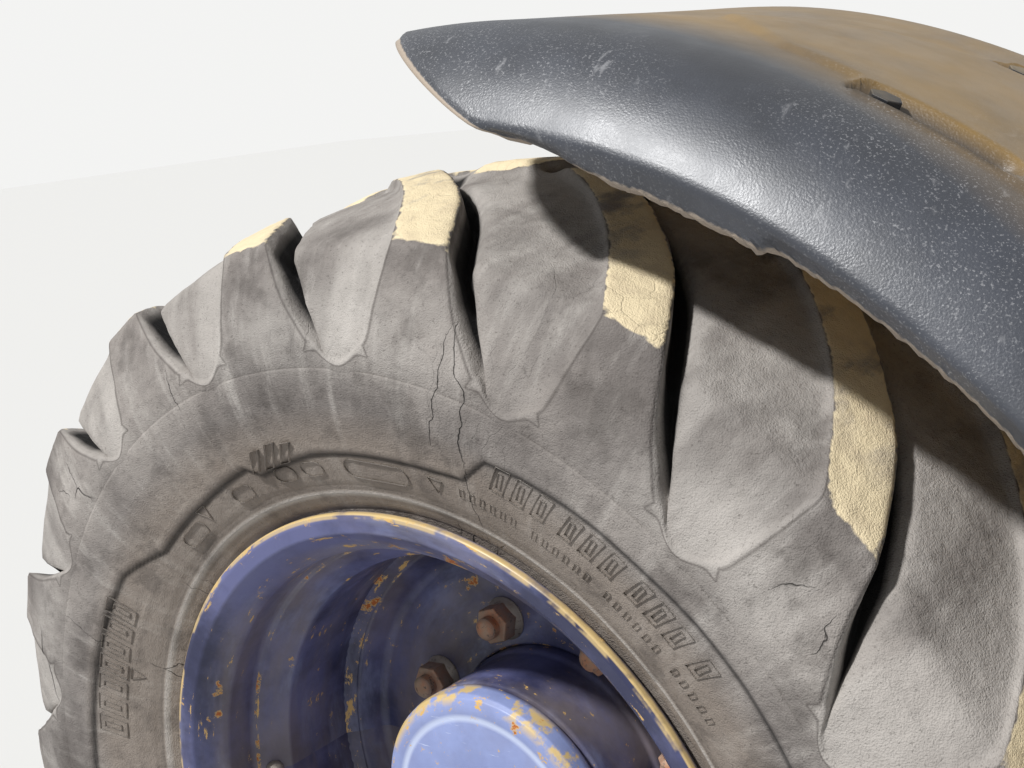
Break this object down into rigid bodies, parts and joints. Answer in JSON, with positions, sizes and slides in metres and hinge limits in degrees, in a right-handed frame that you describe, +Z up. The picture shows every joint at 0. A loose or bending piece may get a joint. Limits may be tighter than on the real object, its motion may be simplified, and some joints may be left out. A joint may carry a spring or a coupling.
{
  "type": "wheel loader front wheel with planetary hub, axle end and mudguard",
  "caption": "Lugged loader wheel on a dished rim and planetary hub, carried by a flanged axle arm, with a moulded plastic mudguard on a steel bracket.",
  "frame": {"origin": "centre of the axle arm's inner bolting flange, on the wheel's axis", "axes": "+Y along the axle towards the machine's middle, -X towards the machine's front, +Z up"},
  "size_m": [1.2039, 0.724, 1.1339],
  "materials": {
    "tyre_rubber": "worn and dusty",
    "blue_paint": "worn gloss paint",
    "axle_paint": "dusty satin paint",
    "bracket_paint": "satin paint",
    "bare_steel": "rusty",
    "black_plastic": "fine grain, satin"
  },
  "bodies": {
    "axle_end": {"axle_arm": "axle_paint", "spindle": "axle_paint", "guard_bracket": "bracket_paint", "mudguard": "black_plastic"},
    "wheel": {"tyre": "tyre_rubber", "rim": "blue_paint", "wheel_disc": "blue_paint", "hub": "blue_paint", "hub_cap": "blue_paint", "oil_plug": "bare_steel", "wheel_studs": "bare_steel", "wheel_nuts": "bare_steel", "valve": "bare_steel"},
    "drive_shaft": {"half_shaft": "bare_steel"}
  },
  "joints": [
    {"name": "wheel_spin", "type": "hinge", "parent": "axle_end", "child": "wheel", "pos_m": [0, -0.45, 0], "axis": [0, 1, 0], "continuous": true},
    {"name": "half_shaft_spin", "type": "hinge", "parent": "axle_end", "child": "drive_shaft", "pos_m": [0, 0, 0], "axis": [0, 1, 0], "continuous": true}
  ],
  "couplings": [
    {"joint": "half_shaft_spin", "follows": "wheel_spin", "ratio": 6}
  ]
}
